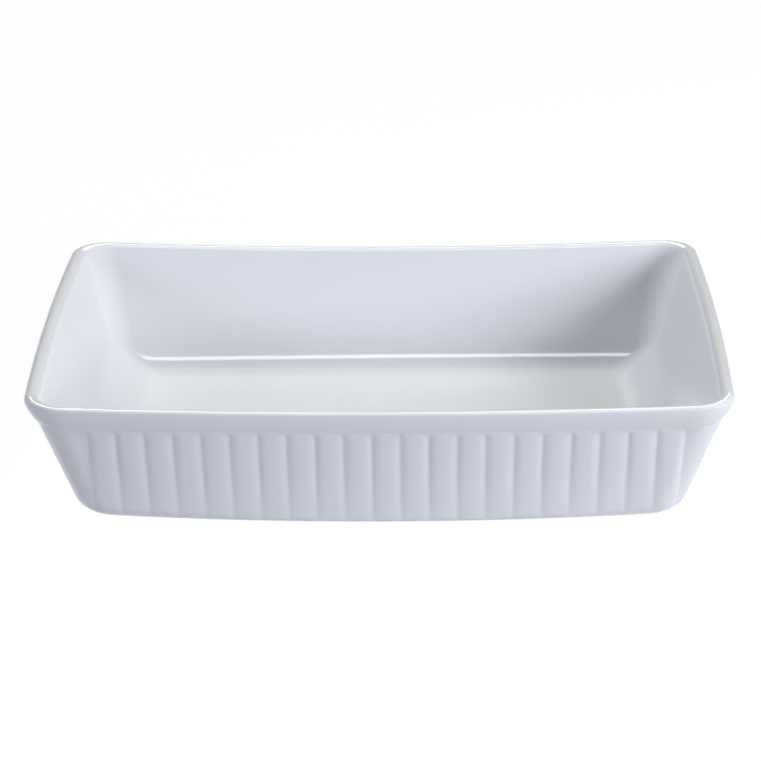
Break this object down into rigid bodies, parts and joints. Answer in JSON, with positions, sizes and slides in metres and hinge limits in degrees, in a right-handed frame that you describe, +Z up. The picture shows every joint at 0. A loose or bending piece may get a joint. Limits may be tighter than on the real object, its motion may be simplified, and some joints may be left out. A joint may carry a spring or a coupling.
{
  "type": "rectangular baking dish",
  "caption": "White glazed stoneware baking dish: a flared rectangular vessel with reeded sides, a smooth rim band, a plain coved inside and a bare foot ring, for baking and serving.",
  "frame": {"origin": "middle of the footprint, on the surface that the dish stands on", "axes": "+X along the dish, +Y across it, +Z up"},
  "size_m": [0.33, 0.23, 0.0705],
  "materials": {
    "bare_stoneware": "fired and unglazed, dry to the touch, fine sandy grain",
    "white_glaze": "glossy cool white glaze, pooled slightly in the grooves"
  },
  "bodies": {
    "root": {"stoneware_body": "bare_stoneware", "liner_glaze": "white_glaze", "outer_glaze": "white_glaze", "base_glaze": "white_glaze"}
  },
  "joints": []
}
